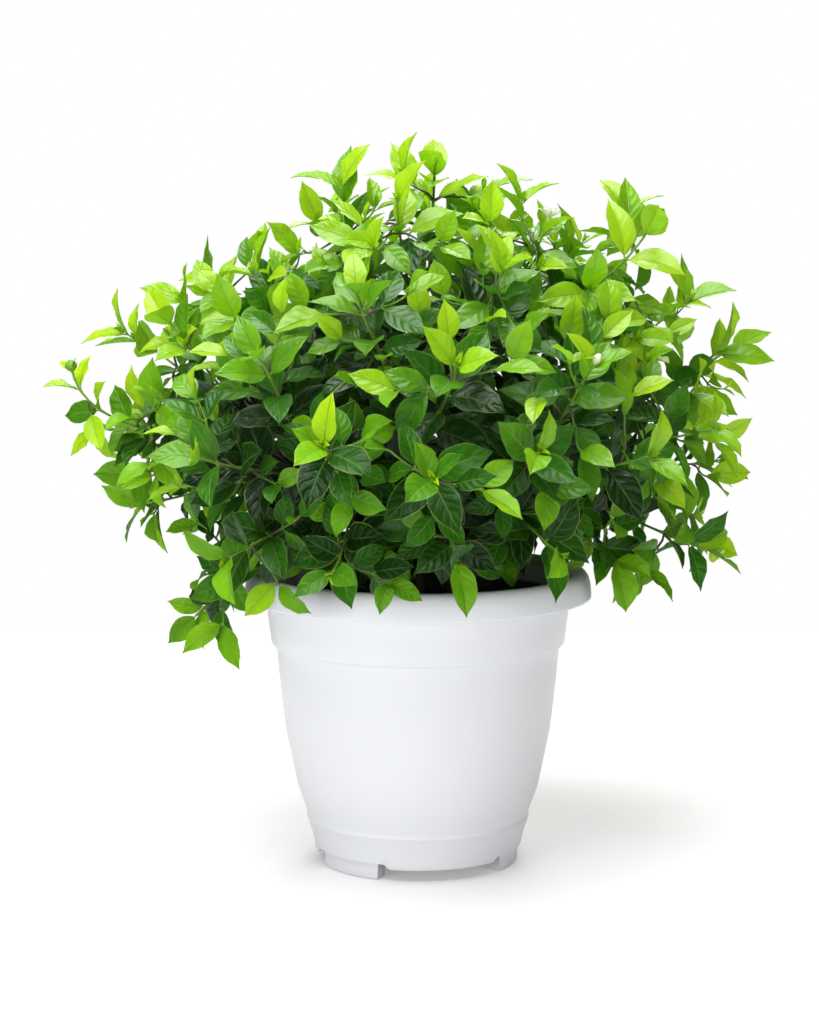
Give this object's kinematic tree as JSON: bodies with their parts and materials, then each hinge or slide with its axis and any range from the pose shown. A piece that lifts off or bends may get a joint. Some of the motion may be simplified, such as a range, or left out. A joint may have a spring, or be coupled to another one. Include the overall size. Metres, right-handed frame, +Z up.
{
  "type": "potted arabian jasmine",
  "caption": "Rounded bush of Arabian jasmine with opposite glossy green leaves and small white flowers, growing in a white moulded pot with a rolled lip on low feet.",
  "frame": {"origin": "on the floor under the middle of the pot, at the middle of the whole plant's bounding box seen from above", "axes": "+Z up; -Y is the front of the picture, +X is to the right seen from the front; the pot stands on its feet on the plane z = 0"},
  "size_m": [0.6904, 0.6504, 0.6991],
  "materials": {
    "pot_plastic": "white moulded polypropylene with a soft satin gloss and faint drag marks",
    "potting_soil": "damp peat-based potting mix, dark brown, crumbly and dull",
    "bark": "thin woody stems in grey-brown bark, greener towards the tips",
    "leaf_young": "young leaf, glossy yellow-green, thin enough for light to show through",
    "leaf_mid": "grown leaf, glossy mid green with a pale midrib and sunken side veins",
    "leaf_old": "old leaf, dark green and leathery with a waxy gloss",
    "petal": "white waxy petals, soft and matt, with a pale green tube below"
  },
  "bodies": {
    "root": {"flower_bud": "petal", "flower_open": "petal", "pot": "pot_plastic", "shoot_back_high": "leaf_mid", "shoot_back_left_high": "leaf_mid", "shoot_back_left_inner": "leaf_old", "shoot_back_left_low": "leaf_old", "shoot_back_left_mid": "leaf_mid", "shoot_back_low": "leaf_old", "shoot_back_mid": "leaf_old", "shoot_back_right_high": "leaf_mid", "shoot_back_right_inner": "leaf_old", "shoot_back_right_low": "leaf_old", "shoot_back_right_mid": "leaf_mid", "shoot_back_top": "leaf_young", "shoot_crown": "leaf_young", "shoot_crown_back": "leaf_young", "shoot_crown_front": "leaf_young", "shoot_crown_left": "leaf_young", "shoot_crown_right": "leaf_young", "shoot_far_left": "leaf_old", "shoot_far_right": "leaf_mid", "shoot_front_hem": "leaf_mid", "shoot_front_high": "leaf_mid", "shoot_front_left_hem": "leaf_old", "shoot_front_left_high": "leaf_young", "shoot_front_left_inner": "leaf_old", "shoot_front_left_low": "leaf_old", "shoot_front_left_mid": "leaf_mid", "shoot_front_mid": "leaf_old", "shoot_front_right_high": "leaf_young", "shoot_front_right_inner": "leaf_mid", "shoot_front_right_low": "leaf_old", "shoot_front_right_mid": "leaf_mid", "shoot_front_top": "leaf_young", "shoot_left_hanging": "leaf_old", "shoot_left_high": "leaf_mid", "shoot_left_low": "leaf_old", "shoot_left_raised": "leaf_mid", "shoot_left_top": "leaf_young", "shoot_right_front": "leaf_mid", "shoot_right_hanging": "leaf_old", "shoot_right_low": "leaf_old", "shoot_right_mid": "leaf_mid", "shoot_right_raised": "leaf_young", "shoot_shoulder_back": "leaf_young", "shoot_shoulder_back_right": "leaf_young", "shoot_shoulder_front": "leaf_young", "shoot_shoulder_left": "leaf_young", "shoot_shoulder_right": "leaf_young", "soil": "potting_soil", "stem_back": "bark", "stem_back_left": "bark", "stem_back_right": "bark", "stem_front": "bark", "stem_front_left": "bark", "stem_front_right": "bark", "stem_left": "bark", "stem_middle": "bark", "stem_right": "bark"}
  },
  "joints": []
}
